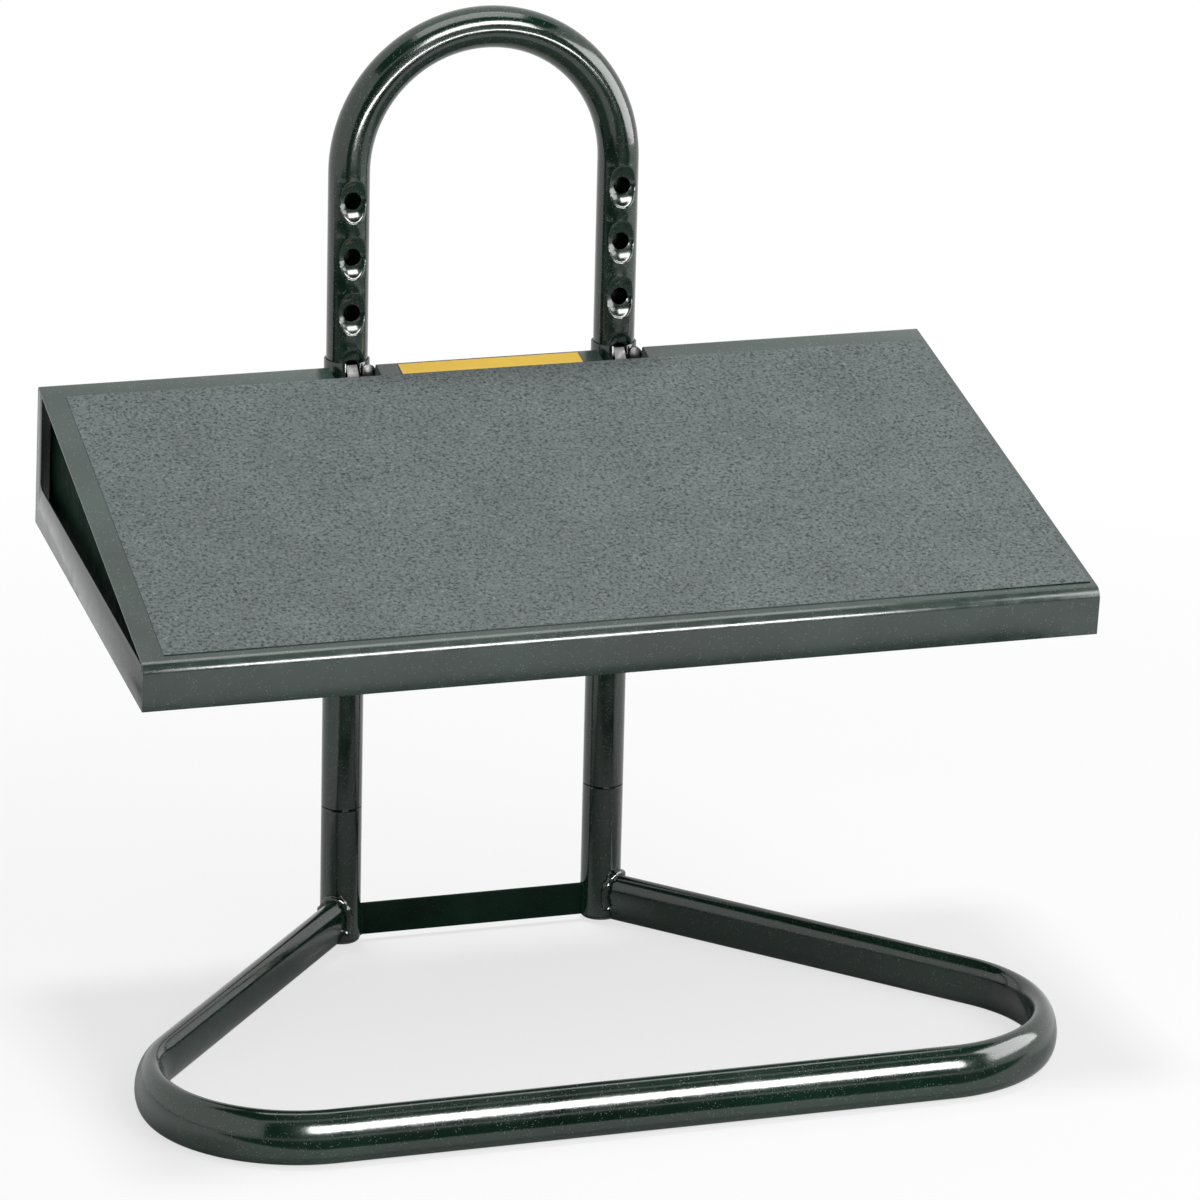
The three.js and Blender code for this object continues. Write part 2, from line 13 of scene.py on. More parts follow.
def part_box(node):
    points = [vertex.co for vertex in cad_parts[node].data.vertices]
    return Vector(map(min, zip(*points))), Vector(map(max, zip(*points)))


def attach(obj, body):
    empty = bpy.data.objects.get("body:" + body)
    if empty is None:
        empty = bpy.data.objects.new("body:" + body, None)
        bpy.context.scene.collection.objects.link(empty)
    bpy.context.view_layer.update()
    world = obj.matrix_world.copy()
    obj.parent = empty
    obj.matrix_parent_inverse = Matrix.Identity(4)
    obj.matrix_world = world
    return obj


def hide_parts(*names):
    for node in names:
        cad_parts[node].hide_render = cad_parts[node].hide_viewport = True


bl_info = {
    "name": "Tilting Footrest",
    "version": (1, 0, 0),
    "blender": (4, 5, 0),
    "location": "3D View > Sidebar > Footrest",
    "description": "Builds the looks of a tilting under-desk footrest over its packed frame",
    "category": "Object",
}

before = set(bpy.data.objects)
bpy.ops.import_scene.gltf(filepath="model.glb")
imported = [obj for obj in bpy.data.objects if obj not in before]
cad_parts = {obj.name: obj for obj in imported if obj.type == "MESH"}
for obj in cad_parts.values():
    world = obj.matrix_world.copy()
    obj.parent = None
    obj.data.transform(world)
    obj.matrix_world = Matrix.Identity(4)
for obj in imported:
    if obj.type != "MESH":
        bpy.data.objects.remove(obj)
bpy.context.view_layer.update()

ARCH_LOW, ARCH_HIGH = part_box("arch_tube")
POST_PLANE = (ARCH_LOW.y + ARCH_HIGH.y) / 2
X = Vector((1, 0, 0))
Y = Vector((0, 1, 0))
Z = Vector((0, 0, 1))
SIDES = (("left", -1), ("right", 1))
WHITE = (1, 1, 1, 1)
MERGE = 2e-6
MIRROR_MERGE = 1e-5
FIT = 0.0003


def length(name, description, millimetres):
    return FloatProperty(
        name=name, description=description, default=millimetres / 1000,
        unit="LENGTH", subtype="DISTANCE", precision=5,
    )


def angle(name, description, degrees):
    return FloatProperty(
        name=name, description=description, default=math.radians(degrees),
        unit="ROTATION", subtype="ANGLE",
    )


def number(name, description, default):
    return FloatProperty(name=name, description=description, default=default, precision=4)


def count(name, description, default):
    return IntProperty(name=name, description=description, default=default, min=1)


def colour(name, description, red, green, blue):
    return FloatVectorProperty(
        name=name, description=description, default=(red, green, blue),
        size=3, min=0, max=1, subtype="COLOR",
    )


def group(kind, name, description):
    return PointerProperty(type=kind, name=name, description=description)


class StandSizes(PropertyGroup):
    post_spacing: length("Post spacing", "Between the two posts' axes", 171.3)
    tube_diameter: length("Tube diameter", "Outside of the round tube", 25.4)
    tube_wall: length("Tube wall", "Wall of the round tube", 1.5)
    arch_top: length("Arch top", "Top of the arch above the floor", 592.8)
    seam_height: length("Seam height", "Where the arch plugs into the sockets", 90)
    seam_gap: length("Seam gap", "Shadow gap above a socket", 0.6)
    spigot_depth: length("Spigot depth", "How far the swaged end goes in", 32)
    socket_bottom: length("Socket bottom", "Lower end of a socket", 3.8)
    hole_diameter: length("Hole diameter", "Height hole", 10.8)
    hole_pitch: length("Hole pitch", "From one height hole to the next", 34.9)
    top_hole: length("Top hole", "Height of the top hole's centre", 478.6)
    hole_count: count("Hole count", "Height holes in a post", 6)
    dish_half_height: length("Dish half height", "Reach of the pressed dish up and down", 12.8)
    dish_depth: length("Dish depth", "Depth of the ball-shaped dish round a hole", 5)


class LoopSizes(PropertyGroup):
    depth: length("Depth", "From the posts' axes to the front run's axis", 346.2)
    corner_spread: length("Corner spread", "Between the corners where the axes meet", 739.4)
    bend_radius: length("Bend radius", "Of the loop's axis at its corners", 85.2)
    tube_width: length("Tube width", "Across the oval tube", 17)
    tube_height: length("Tube height", "Height of the oval tube", 32)
    lean: angle("Lean", "How far the oval's top leans in", 8.25)
    bead_radius: length("Bead radius", "Weld bead where a leg meets its post", 2.8)


class CarriageSizes(PropertyGroup):
    locked_hole: count("Locked hole", "Hole that the catch is in, counted down from the top one", 3)
    wall: length("Collar wall", "Wall of a collar", 1)
    gap: length("Running gap", "Between a collar and its post", 0.3)
    height: length("Collar height", "Height of a collar", 45)
    rise: length("Collar rise", "Its top above the locked hole", 4.6)
    window_width: length("Window width", "Slot in a collar's front", 9)
    window_depth: length("Window depth", "Depth of the slot", 13.5)
    catch_thickness: length("Catch thickness", "Sheet of a spring catch", 1)
    catch_drop: length("Catch drop", "Lower edge of a catch below the locked hole", 19.9)
    catch_foot: length("Catch foot", "Height of a catch's foot", 8)
    tongue_width: length("Tongue width", "Width of a tongue", 7)
    lever_width: length("Lever width", "Width of a release lever", 6.5)
    lever_rise: length("Lever rise", "Top of a lever above the locked hole", 4.1)
    lever_gap: length("Lever gap", "Slot between tongue and lever", 2)
    pin_diameter: length("Pin diameter", "Pivot pin", 6)
    pin_head: length("Pin head", "Diameter of a pin's head", 9)
    pin_head_height: length("Pin head height", "Height of a pin's head", 1.5)
    pivot_drop: length("Pivot drop", "Pivot below the locked hole", 7.9)


class PlatformSizes(PropertyGroup):
    tilt: angle("Tilt at rest", "Front down", 5.12)
    drop: length("Drop", "Rear lower edge below the pivot", 76.7)
    setback: length("Setback", "Rear lower edge from the posts' axes", -3)
    depth: length("Depth", "From back panel to front lip", 292.2)
    rear_width: length("Rear width", "Width at the back", 562.6)
    front_width: length("Front width", "Width at the front", 582.8)
    flange_height: length("Flange height", "Height of the front lip", 28.1)
    rear_height: length("Rear height", "Height of the back panel", 88.2)
    sheet: length("Sheet", "Thickness of the folded sheet", 1.2)
    front_bend: length("Front bend", "Outer radius of the front fold", 7)
    rear_bend: length("Rear bend", "Outer radius of the rear fold", 2)
    notch_width: length("Notch width", "Slot for a post", 29.6)
    notch_depth: length("Notch depth", "Depth of the slot", 14.2)
    upright: length("Side upright", "Width of a side flange's upright", 12)
    corner: length("Side corner", "Inner radius of a side flange", 5)
    grit_thickness: length("Grit thickness", "Thickness of the grit sheet", 0.6)
    grit_left: length("Grit left margin", "Bare sheet on the left", 14)
    grit_right: length("Grit right margin", "Bare sheet on the right", 3)
    grit_front: length("Grit front margin", "Bare sheet at the front", 9)
    grit_rear: length("Grit rear margin", "Bare sheet at the rear", 15)
    strip_length: length("Strip length", "Length of the yellow strip", 116)
    strip_width: length("Strip width", "Width of the yellow strip", 12)
    strip_margin: length("Strip margin", "From the rear edge to the strip", 3)
    strip_thickness: length("Strip thickness", "Thickness of the yellow strip", 0.3)
    strip_border: length("Strip border", "Dark border round the strip", 0.7)


class FinishColours(PropertyGroup):
    tube: colour("Tube paint", "Gloss paint on the tubes", 0.004, 0.017, 0.01)
    dust: colour("Dust", "Specks in the gloss paint", 0.14, 0.18, 0.15)
    # Colour of the painted shade paint. The parts inside and under the platform carry the tubes' gloss
    # paint, and this glossless copy stands in for the shade on them.
    shaded: colour("Dull paint", "Thin paint inside the platform and on the crossbar", 0.006, 0.02, 0.013)
    # The deck colour is lighter than the tube paint's; part of that lightness is painted reflection of the
    # bright surroundings.
    deck: colour("Deck paint", "Paint on the folded platform", 0.027, 0.048, 0.039)
    flecks: colour("Flecks", "Specks in the deck paint", 0.12, 0.15, 0.12)
    # The grit colour is partly painted sheen: a darker grit with the reflection of the bright surroundings
    # painted into its grey.
    grit: colour("Grit", "Grains on the platform's top", 0.12, 0.139, 0.139)
    grit_dark: colour("Grit pits", "Dark pits between the grains", 0.02, 0.035, 0.03)
    yellow: colour("Yellow strip", "Marking strip", 1, 0.64, 0.05)
    steel: colour("Plated steel", "Pins", 0.3, 0.31, 0.31)
    spring: colour("Spring steel", "Catches", 0.045, 0.044, 0.044)
    plastic: colour("Black plastic", "Socket plugs", 0.012, 0.012, 0.013)


class StageSettings(PropertyGroup):
    floor: colour("Floor", "Plain pale floor", 0.9, 0.9, 0.905)
    shadow_share: number("Shadow share", "How much of its shadow the white floor shows", 0.3)
    shadow_reach: length("Shadow reach", "Where the floor starts to turn plain white", 550)
    shadow_end: length("Shadow end", "Where the floor is plain white", 1200)
    top_level: number("Top light", "Level that the overhead panel gives on the floor", 0.6)
    key_level: number("Key light", "Level that the front panel gives on a face turned to it", 0.4)
    sky_level: number("Sky level", "Level of the plain sky", 0.32)
    gloss_radiance: number("Gloss light", "Radiance of the panels that give the highlights", 20)
    window_radiance: number("Window light", "Radiance of the paler panel to the right", 6)
    yaw: angle("Camera yaw", "Turn of the camera to the right", -18.9)
    pitch: angle("Camera pitch", "Height of the camera", 17.5)
    roll: angle("Camera roll", "Roll of the camera", 1.38)
    focal: number("Focal length", "In pixels of the photograph", 6665.62)
    image: number("Image width", "Pixels across the photograph", 1200)
    distance: length("Camera distance", "From the aim point", 4016.03)
    aim_right: length("Aim right", "Offset of the aim point", -42.94)
    aim_up: length("Aim up", "Offset of the aim point", 49.81)


class FootrestSettings(PropertyGroup):
    stand: group(StandSizes, "Stand", "Posts and arch")
    loop: group(LoopSizes, "Floor loop", "Bent oval tube")
    carriage: group(CarriageSizes, "Carriage", "Sliding collars")
    platform: group(PlatformSizes, "Platform", "Folded sheet")
    finish: group(FinishColours, "Finish", "Colours")
    stage: group(StageSettings, "Stage", "Floor, light and camera")


# Mesh helpers


def only(made, kind):
    """The vertices, edges or faces among what a step made."""
    return [item for item in made if isinstance(item, kind)]


def whole(bm):
    return bm.verts[:] + bm.edges[:] + bm.faces[:]


def merge(bm, distance=MERGE):
    bmesh.ops.remove_doubles(bm, verts=bm.verts[:], dist=distance)


def face_out(bm):
    bmesh.ops.recalc_face_normals(bm, faces=bm.faces[:])


def mirror(bm):
    """Adds the right half to a shape's left half."""
    bmesh.ops.mirror(bm, geom=whole(bm), axis="X", merge_dist=MIRROR_MERGE)
    merge(bm, MIRROR_MERGE)


def cut(bm, place, normal):
    bmesh.ops.bisect_plane(bm, geom=whole(bm), plane_co=place, plane_no=normal)


def remove_faces(bm, inside):
    """Deletes the faces whose middle passes a test."""
    doomed = [face for face in bm.faces if inside(face.calc_center_median())]
    bmesh.ops.delete(bm, geom=doomed, context="FACES")


def thicken(bm, thickness):
    """Gives an open skin a thickness behind its outer side."""
    face_out(bm)
    bmesh.ops.solidify(bm, geom=bm.faces[:], thickness=thickness)


def placed(side, up, forward, place):
    """A matrix that lays local x, y and z along three directions, at a place."""
    matrix = Matrix((side, up, forward)).transposed().to_4x4()
    matrix.translation = place
    return matrix


def arc(across, up, radius, start, swing, steps):
    """Points along an arc, as pairs."""
    turns = [start + swing * i / steps for i in range(steps + 1)]
    return [(across + radius * math.cos(a), up + radius * math.sin(a)) for a in turns]


def ring(bm, segments, width, height, matrix):
    """An open ring of edges."""
    verts = bmesh.ops.create_circle(bm, segments=segments, radius=0.5)["verts"]
    bmesh.ops.scale(bm, verts=verts, vec=(width, height, 1))
    edges = list({edge for vert in verts for edge in vert.link_edges})
    bmesh.ops.transform(bm, verts=verts, matrix=matrix)
    return edges


def pull(bm, edges, matrix):
    """Extrudes open edges and moves the new ones by a matrix."""
    made = bmesh.ops.extrude_edge_only(bm, edges=edges)["geom"]
    bmesh.ops.transform(bm, verts=only(made, BMVert), matrix=matrix)
    return only(made, BMEdge)


def pull_by(bm, edges, offset):
    return pull(bm, edges, Matrix.Translation(offset))


def turn(bm, geometry, centre, axis, swing, steps):
    """Spins edges or points about an axis, and gives the last ones."""
    made = bmesh.ops.spin(
        bm, geom=geometry, cent=centre, axis=axis, angle=swing, steps=steps, use_merge=False
    )
    return made["geom_last"]


def close_ends(bm):
    bmesh.ops.holes_fill(bm, edges=[edge for edge in bm.edges if edge.is_boundary], sides=0)


def line_through(bm, points):
    """A chain of edges through a few points."""
    verts = [bm.verts.new(point) for point in points]
    return [bm.edges.new(pair) for pair in zip(verts, verts[1:])]


def turned(points, place, axis, segments=64):
    """A body of revolution through a few points, given as radius and distance along the axis."""
    bm = bmesh.new()
    side = axis.orthogonal().normalized()
    edges = line_through(bm, [place + side * radius + axis * along for radius, along in points])
    profile = bm.verts[:] + edges
    bmesh.ops.spin(
        bm, geom=profile, cent=place, axis=axis, angle=math.tau, steps=segments, use_merge=True
    )
    merge(bm)
    return bm


def soften(bm, width, degrees=38):
    """Rounds the sharp edges of a closed shape."""
    limit = math.radians(degrees)
    sharp = [edge for edge in bm.edges if edge.is_manifold and abs(edge.calc_face_angle()) > limit]
    bmesh.ops.bevel(
        bm,
        geom=sharp,
        offset=width,
        offset_type="OFFSET",
        segments=2,
        profile=0.5,
        affect="EDGES",
        clamp_overlap=True,
        material=-1,
    )


def plate(outline, thickness, rounding=0):
    """A flat plate from a closed outline of points, thickened along an offset."""
    bm = bmesh.new()
    face = bm.faces.new([bm.verts.new(point) for point in outline])
    made = bmesh.ops.extrude_face_region(bm, geom=[face])["geom"]
    bmesh.ops.translate(bm, verts=only(made, BMVert), vec=thickness)
    face_out(bm)
    if rounding:
        soften(bm, rounding)
    return bm


def flat_bar(half, low, high, rounding):
    """A bar across the middle, between the depths and heights of two corners."""
    ends = ((-half, low.z), (half, low.z), (half, high.z), (-half, high.z))
    return plate([Vector((x, low.y, z)) for x, z in ends], Y * (high.y - low.y), rounding)


def add_object(name, data):
    made = bpy.data.objects.new(name, data)
    bpy.context.scene.collection.objects.link(made)
    return made


def mesh_object(bm, name):
    mesh = bpy.data.meshes.new(name)
    bm.to_mesh(mesh)
    bm.free()
    return add_object(name, mesh)


def make_piece(bm, name, body, slot, node="", looks=(), smooth_below=35):
    """Turns a shape into a piece that rides on a body and may stand for a CAD node."""
    merge(bm)
    face_out(bm)
    piece = mesh_object(bm, name)
    piece.data.shade_smooth()
    piece.data.set_sharp_from_angle(angle=math.radians(smooth_below))
    for look in looks or (slot,):
        piece.data.materials.append(bpy.data.materials[look])
    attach(piece, body)
    if node:
        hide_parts(node)


# Materials


def feed(tree, node, inputs):
    """Gives a node's inputs their values, each a plain value or a socket."""
    for key, value in inputs.items():
        if isinstance(value, bpy.types.NodeSocket):
            tree.links.new(value, node.inputs[key])
        elif value is not None:
            node.inputs[key].default_value = value


def add_node(tree, kind, inputs, **settings):
    node = tree.nodes.new(kind)
    for key, value in settings.items():
        setattr(node, key, value)
    feed(tree, node, inputs)
    return node


def new_tree(name):
    """The node tree of a new material, with its object coordinates."""
    found = bpy.data.materials.get(name)
    if found:
        bpy.data.materials.remove(found)
    material = bpy.data.materials.new(name)
    material.use_nodes = True
    add_node(material.node_tree, "ShaderNodeTexCoord", {}, name="Place")
    return material.node_tree


def place_in(tree):
    return tree.nodes["Place"].outputs["Object"]


def noise(tree, scale, detail=3, roughness=0.5):
    inputs = {"Vector": place_in(tree), "Scale": scale, "Detail": detail, "Roughness": roughness}
    return add_node(tree, "ShaderNodeTexNoise", inputs).outputs["Fac"]


def cells(tree, scale):
    """The distance from the middle of the nearest cell."""
    inputs = {"Vector": place_in(tree), "Scale": scale}
    return add_node(tree, "ShaderNodeTexVoronoi", inputs).outputs["Distance"]


def ramp(tree, value, between, gives=(0, 1)):
    """Maps a value from one range to another, held at both ends."""
    low, high = between
    low_out, high_out = gives
    inputs = {"Value": value, "From Min": low, "From Max": high, "To Min": low_out, "To Max": high_out}
    return add_node(tree, "ShaderNodeMapRange", inputs).outputs["Result"]


def patchy(tree, scale, between, gives=(0, 1), detail=3):
    return ramp(tree, noise(tree, scale, detail), between, gives)


def mixed(tree, factor, first, second):
    """Mixes two colours, each a colour or a socket."""
    # The node has inputs of three kinds, and these are the places of the two colours
    first_place = 6
    second_place = 7
    inputs = {"Factor": factor, first_place: first, second_place: second}
    node = add_node(tree, "ShaderNodeMix", inputs, data_type="RGBA")
    return next(socket for socket in node.outputs if socket.type == "RGBA")


def combine(tree, operation, first, second):
    inputs = {0: first, 1: second}
    return add_node(tree, "ShaderNodeMath", inputs, operation=operation).outputs["Value"]


def clouded(tree, tone, scale, between, shares, detail=3):
    """A tone that drifts between two shares of itself."""
    low, high = shares
    return mixed(tree, patchy(tree, scale, between, detail=detail), shade(tone, low), shade(tone, high))


def bump(tree, height, strength, depth, under=None):
    inputs = {"Strength": strength, "Distance": depth, "Height": height, "Normal": under}
    return add_node(tree, "ShaderNodeBump", inputs).outputs["Normal"]


def grain(tree, scale, strength, depth, detail=2, under=None):
    return bump(tree, noise(tree, scale, detail), strength, depth, under)


def specks(tree, scale, size, patch_scale, patch_share):
    """Small sparse dots, kept to patches."""
    sparse = combine(tree, "LESS_THAN", cells(tree, scale), size)
    chosen = combine(tree, "GREATER_THAN", noise(tree, patch_scale, 1), patch_share)
    return combine(tree, "MULTIPLY", sparse, chosen)


def shade(value, factor=1):
    return (*(min(channel * factor, 1) for channel in value), 1)


def surface(tree, base, roughness, normal=None, specular=0.5, metallic=0):
    """Feeds the material's shader."""
    shader = tree.nodes["Principled BSDF"]
    feed(tree, shader, {"Base Color": base, "Roughness": roughness, "Normal": normal})
    feed(tree, shader, {"Specular IOR Level": specular, "Metallic": metallic})
    return shader


def tube_paint(finish):
    """Dark gloss paint with orange peel, faint clouding and a few dust specks."""
    tree = new_tree("tube_paint")
    base = clouded(tree, finish.tube, 14, (0.35, 0.7), (1, 2))
    dust = specks(tree, 700, 0.2, 230, 0.5)
    base = mixed(tree, dust, base, shade(finish.dust))
    waves = grain(tree, 60, 0.5, 0.0002)
    peel = grain(tree, 520, 0.35, 0.00006, 1, waves)
    surface(tree, base, patchy(tree, 40, (0.3, 0.75), (0.1, 0.2)), peel, specular=0.75)


def shaded_paint(finish):
    """Painted shade: a copy of the tube paint with its gloss taken out, so that the parts inside and under
    the platform stay dark; with bare clouding and a dry grain.
    """
    tree = new_tree("shaded_paint")
    base = clouded(tree, finish.shaded, 30, (0.3, 0.7), (0.7, 1.5), 4)
    dry = patchy(tree, 900, (0.62, 0.72), detail=2)
    base = mixed(tree, dry, base, shade(finish.shaded, 2.5))
    pitted = grain(tree, 620, 0.5, 0.0001)
    surface(tree, base, patchy(tree, 120, (0.3, 0.7), (0.55, 0.75)), pitted, specular=0.02)


def deck_paint(finish):
    """Satin paint on folded sheet, with fine orange peel and small bright flecks. Its colour is partly
    painted reflection of the bright surroundings.
    """
    tree = new_tree("deck_paint")
    base = clouded(tree, finish.deck, 18, (0.3, 0.75), (0.8, 1.35), 4)
    flecks = specks(tree, 640, 0.22, 240, 0.52)
    base = mixed(tree, flecks, base, shade(finish.flecks))
    peel = grain(tree, 700, 0.4, 0.00008)
    surface(tree, base, patchy(tree, 90, (0.3, 0.7), (0.16, 0.26)), peel, specular=0.75)


def grit_material(finish):
    """Fine grains in a dark binder, with dark pits between them. Their grey is partly painted sheen, and the
    glints on their high places are painted highlights.
    """
    tree = new_tree("grit")
    fine = noise(tree, 520, 3, 0.62)
    hollows = combine(tree, "MULTIPLY", cells(tree, 640), 0.35)
    height = combine(tree, "SUBTRACT", fine, hollows)
    tone = clouded(tree, finish.grit, 26, (0.3, 0.7), (0.92, 1.1))
    base = mixed(tree, ramp(tree, fine, (0.34, 0.5)), shade(finish.grit_dark), tone)
    # Painted highlights: lighter glints on the high places of the grain.
    glints = ramp(tree, fine, (0.6, 0.7))
    base = mixed(tree, glints, base, shade(finish.grit, 1.7))
    roughness = ramp(tree, fine, (0.3, 0.7), (0.8, 0.55))
    surface(tree, base, roughness, bump(tree, height, 0.9, 0.0005), specular=0.25)


def yellow_material(finish):
    """Printed film with faint mottling and scuffs."""
    tree = new_tree("yellow_strip")
    base = clouded(tree, finish.yellow, 90, (0.3, 0.7), (0.95, 1), 4)
    scuffs = ramp(tree, noise(tree, 420, 5, 0.75), (0.64, 0.72))
    base = mixed(tree, scuffs, base, shade(finish.yellow, 0.75))
    roughness = patchy(tree, 200, (0.3, 0.7), (0.35, 0.5))
    surface(tree, base, roughness, grain(tree, 800, 0.2, 0.00004, 3))


def steel_material(name, tone):
    """Zinc plating with fine turning marks and dull patches."""
    tree = new_tree(name)
    base = clouded(tree, tone, 160, (0.35, 0.7), (0.75, 1), 4)
    roughness = patchy(tree, 260, (0.3, 0.7), (0.2, 0.42), 4)
    surface(tree, base, roughness, grain(tree, 1500, 0.25, 0.00004), metallic=1)


def plastic_material(finish):
    """Moulded black plastic."""
    tree = new_tree("black_plastic")
    base = clouded(tree, finish.plastic, 120, (0.3, 0.7), (1, 2.2))
    roughness = patchy(tree, 400, (0.3, 0.7), (0.45, 0.65))
    surface(tree, base, roughness, grain(tree, 1800, 0.3, 0.00005))


# Shapes of the stand


def left_post(bm, stand):
    """Half of the arch tube: the left post from its spigot up, and a quarter turn of the arch."""
    segments = 64
    arch_steps = 32
    window_rows = 14
    window_margin = 0.001
    chamfer = 0.0005
    taper = 0.003
    radius = stand.tube_diameter / 2
    spigot = radius - stand.tube_wall - FIT
    start = stand.seam_height + stand.seam_gap
    tip = stand.seam_height - stand.spigot_depth
    centre = Vector((-stand.post_spacing / 2, POST_PLANE, 0))
    at_radius = spigot - chamfer
    at_height = tip
    edges = ring(bm, segments, 2 * at_radius, 2 * at_radius, Matrix.Translation(centre + Z * tip))
    shoulder = [(spigot, tip + taper), (spigot, start), (radius - chamfer, start), (radius, start + chamfer)]
    for new_radius, new_height in shoulder:
        edges = pull_by(bm, edges, Z * (new_height - at_height))
        share = new_radius / at_radius
        verts = list({vert for edge in edges for vert in edge.verts})
        bmesh.ops.scale(bm, verts=verts, vec=(share, share, 1), space=Matrix.Translation(-centre))
        at_radius = new_radius
        at_height = new_height
    window = stand.dish_half_height + window_margin
    holes = [stand.top_hole - i * stand.hole_pitch for i in range(stand.hole_count)]
    for height in reversed(holes):
        edges = pull_by(bm, edges, Z * (height - window - at_height))
        for _ in range(window_rows):
            edges = pull_by(bm, edges, Z * (2 * window / window_rows))
        at_height = height + window
    arch_centre = stand.arch_top - radius - stand.post_spacing / 2
    edges = pull_by(bm, edges, Z * (arch_centre - at_height))
    turn(bm, edges, Vector((0, POST_PLANE, arch_centre)), Y, math.pi / 2, arch_steps)
    for height in holes:
        press_hole(bm, stand, segments, window, centre + Z * height)


def press_hole(bm, stand, segments, window, centre):
    """Cuts a window in the post's front and fills it with rings that sink towards a round hole."""
    columns = 9
    rings = 11
    slack = 1e-4
    radius = stand.tube_diameter / 2
    half_turn = math.tau * columns / segments
    side = radius * math.sin(half_turn)
    front = POST_PLANE - radius * math.cos(half_turn)

    def inside(place, room=0):
        level = abs(place.x - centre.x) < side + room and abs(place.z - centre.z) < window + room
        return level and place.y < front + room

    remove_faces(bm, inside)
    rim = [edge for edge in bm.edges if edge.is_boundary and all(inside(v.co, slack) for v in edge.verts)]
    skin = centre - Y * radius
    inner = ring(bm, len(rim), stand.hole_diameter, stand.hole_diameter, placed(X, Z, -Y, skin))
    bridge = bmesh.ops.bridge_loops(bm, edges=rim + inner)
    made = bmesh.ops.subdivide_edges(bm, edges=bridge["edges"], cuts=rings, use_grid_fill=True)
    for vert in set(only(made["geom_inner"], BMVert)) | {v for edge in inner for v in edge.verts}:
        vert.co.y = skin.y + sunk(stand, vert.co.x - centre.x, vert.co.z - centre.z)


def sunk(stand, across, up):
    """How far behind the post's front line a point of its skin lies, in a dish that a ball pressed."""
    radius = stand.tube_diameter / 2
    round_skin = radius - math.sqrt(max(radius**2 - across**2, 0))
    ball = (stand.dish_half_height**2 + stand.dish_depth**2) / (2 * stand.dish_depth)
    out = min(math.hypot(across, up), ball)
    dish = stand.dish_depth - ball + math.sqrt(ball**2 - out**2)
    blend = 0.00012
    apart = dish - round_skin
    return (dish + round_skin + math.sqrt(apart**2 + blend**2) - blend) / 2


def build_arch(settings):
    stand = settings.stand
    bm = bmesh.new()
    left_post(bm, stand)
    merge(bm)
    mirror(bm)
    thicken(bm, stand.tube_wall)
    make_piece(bm, "arch", "frame", "tube_paint", "arch_tube")


def build_sockets(settings):
    stand = settings.stand
    outer = stand.tube_diameter / 2
    inner = outer - stand.tube_wall
    top = stand.seam_height
    bottom = stand.socket_bottom
    lip = 0.0005
    profile = [(inner, top), (outer - lip, top), (outer, top - lip), (outer, bottom + lip)]
    profile += [(outer - lip, bottom), (inner, bottom), (inner, top)]
    for name, side in SIDES:
        bm = turned(profile, Vector((side * stand.post_spacing / 2, POST_PLANE, 0)), Z)
        make_piece(bm, f"{name}_socket", "frame", "tube_paint", f"{name}_post_socket")


def build_plugs(settings):
    stand = settings.stand
    chamfer = 0.0006
    rim_height = 0.0015
    wall = 0.0015
    base = 0.0016
    stem = stand.tube_diameter / 2 - stand.tube_wall - FIT
    for name, side in SIDES:
        node = f"{name}_socket_plug"
        low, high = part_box(node)
        rim = (high.x - low.x) / 2
        profile = [(0, low.z + chamfer), (rim * 0.55, low.z + chamfer), (rim * 0.62, low.z)]
        profile += [(rim - chamfer, low.z), (rim, low.z + chamfer), (rim, low.z + rim_height)]
        profile += [(stem, low.z + rim_height), (stem, high.z), (stem - wall, high.z)]
        profile += [(stem - wall, low.z + base), (0, low.z + base)]
        bm = turned(profile, Vector(((low.x + high.x) / 2, (low.y + high.y) / 2, 0)), Z)
        make_piece(bm, f"{name}_plug", "frame", "black_plastic", node)


def leg_line(settings, side):
    """A leg's axis: its ends in the post and at the corner, and the directions out along it and in."""
    loop = settings.loop
    half_height = loop.tube_height / 2
    half_width = loop.tube_width / 2
    height = math.hypot(half_height * math.cos(loop.lean), half_width * math.sin(loop.lean))
    post = Vector((side * settings.stand.post_spacing / 2, POST_PLANE, height))
    corner = Vector((side * loop.corner_spread / 2, POST_PLANE - loop.depth, height))
    outward = (corner - post).normalized()
    inward = Vector((side * outward.y, -side * outward.x, 0))
    return post, corner, outward, inward


def build_loop(settings):
    loop = settings.loop
    start_in_post = 0.009
    segments = 56
    bend_steps = 36
    post, corner, outward, inward = leg_line(settings, -1)
    swing = math.acos(outward.dot(X))
    bend_start = corner - outward * loop.bend_radius * math.tan(swing / 2)
    bend_centre = bend_start + inward * loop.bend_radius
    start = post + outward * start_in_post
    matrix = placed(inward, Z, inward.cross(Z), start) @ Matrix.Rotation(-loop.lean, 4, "Z")
    bm = bmesh.new()
    edges = ring(bm, segments, loop.tube_width, loop.tube_height, matrix)
    edges = pull_by(bm, edges, bend_start - start)
    edges = only(turn(bm, edges, bend_centre, Z, swing, bend_steps), BMEdge)
    reach = sum((vert.co.x for edge in edges for vert in edge.verts)) / (2 * len(edges))
    pull_by(bm, edges, X * -reach)
    merge(bm)
    mirror(bm)
    close_ends(bm)
    make_piece(bm, "floor_loop", "frame", "tube_paint", "base_loop")


